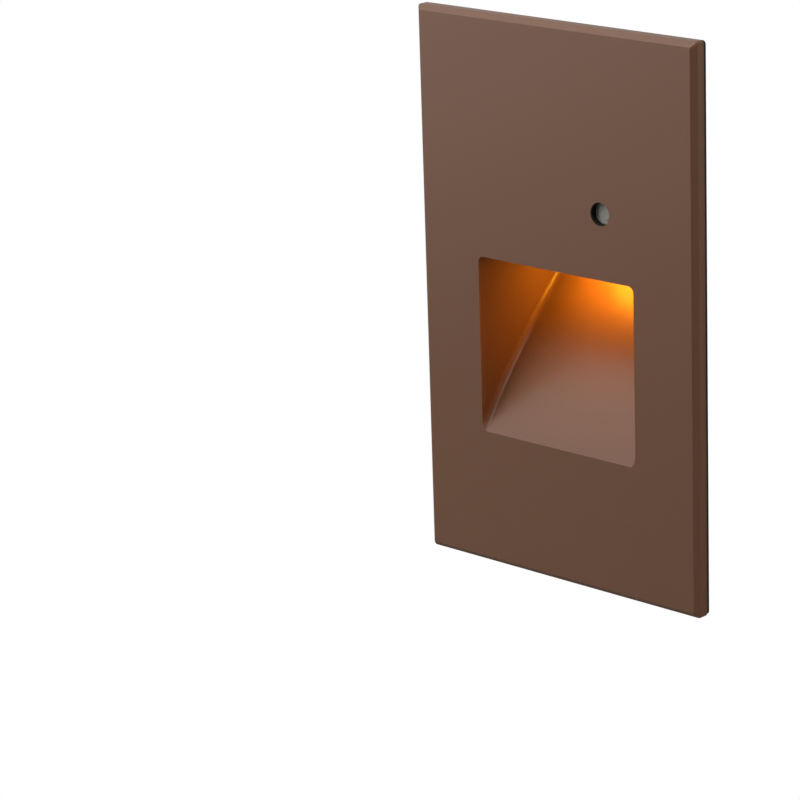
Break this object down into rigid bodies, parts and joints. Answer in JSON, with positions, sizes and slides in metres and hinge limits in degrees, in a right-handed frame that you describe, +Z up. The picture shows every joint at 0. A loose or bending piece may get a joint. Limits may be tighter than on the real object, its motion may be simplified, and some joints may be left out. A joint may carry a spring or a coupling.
{
  "type": "step light",
  "caption": "Recessed wall step light: bevelled upright plate, scooped pocket with a hidden downlight, daylight sensor, and a body that snaps into a wall-box bracket.",
  "frame": {"origin": "on the wall plane, midway between the two box-screw holes of the bracket", "axes": "+Z up, the face looks along -Y, the body goes into the wall along +Y, +X to the right seen from the front"},
  "size_m": [0.0794, 0.0485, 0.127],
  "materials": {
    "painted_cast": "satin powder coat",
    "gasket_rubber": "matt",
    "zinc_steel": "satin",
    "spring_steel": "satin",
    "moulded_black": "matt",
    "frosted_lens": "frosted",
    "clear_window": "clear",
    "aluminium": "satin",
    "board_white": "satin",
    "board_green": "satin",
    "led_phosphor": "matt",
    "copper_wire": "satin",
    "component_black": "matt",
    "component_blue": "satin",
    "green_screw": "satin"
  },
  "bodies": {
    "root": {"face_plate": "painted_cast", "wall_gasket": "gasket_rubber", "mounting_bracket": "zinc_steel", "rear_cover": "moulded_black", "cover_gasket": "gasket_rubber", "cover_screws": "zinc_steel", "lead_gland": "gasket_rubber", "ground_screw": "green_screw", "light_lens": "frosted_lens", "lens_gasket": "gasket_rubber", "led_board": "board_white", "led_chips": "led_phosphor", "heat_spreader": "aluminium", "led_screws": "zinc_steel", "link_header": "moulded_black", "link_pins": "copper_wire", "driver_board": "board_green", "driver_screws": "zinc_steel", "filter_capacitor": "component_black", "choke_core": "component_black", "choke_winding": "copper_wire", "bridge_rectifier": "component_black", "fuse": "component_black", "varistor": "component_blue", "driver_chip": "component_black", "chip_resistors": "component_black", "sensor_sleeve": "moulded_black", "sleeve_seal": "gasket_rubber", "sensor_window": "clear_window", "photocell": "component_black", "photocell_legs": "zinc_steel", "latch_pins": "zinc_steel", "spring_top": "spring_steel", "spring_bottom": "spring_steel"},
    "latch_top": {"latch_top": "spring_steel"},
    "latch_bottom": {"latch_bottom": "spring_steel"}
  },
  "joints": [
    {"name": "latch_top_pivot", "type": "hinge", "parent": "root", "child": "latch_top", "pos_m": [0, 0.016, 0.0328], "axis": [1, 0, 0], "range_deg": [0, 7.5], "stiffness_Nm_per_rad": 0.15, "springref_deg": -17.19, "deforming": ["spring_top"]},
    {"name": "latch_bottom_pivot", "type": "hinge", "parent": "root", "child": "latch_bottom", "pos_m": [0, 0.016, -0.0329], "axis": [-1, 0, 0], "range_deg": [0, 7.5], "stiffness_Nm_per_rad": 0.15, "springref_deg": -17.19, "deforming": ["spring_bottom"]}
  ]
}
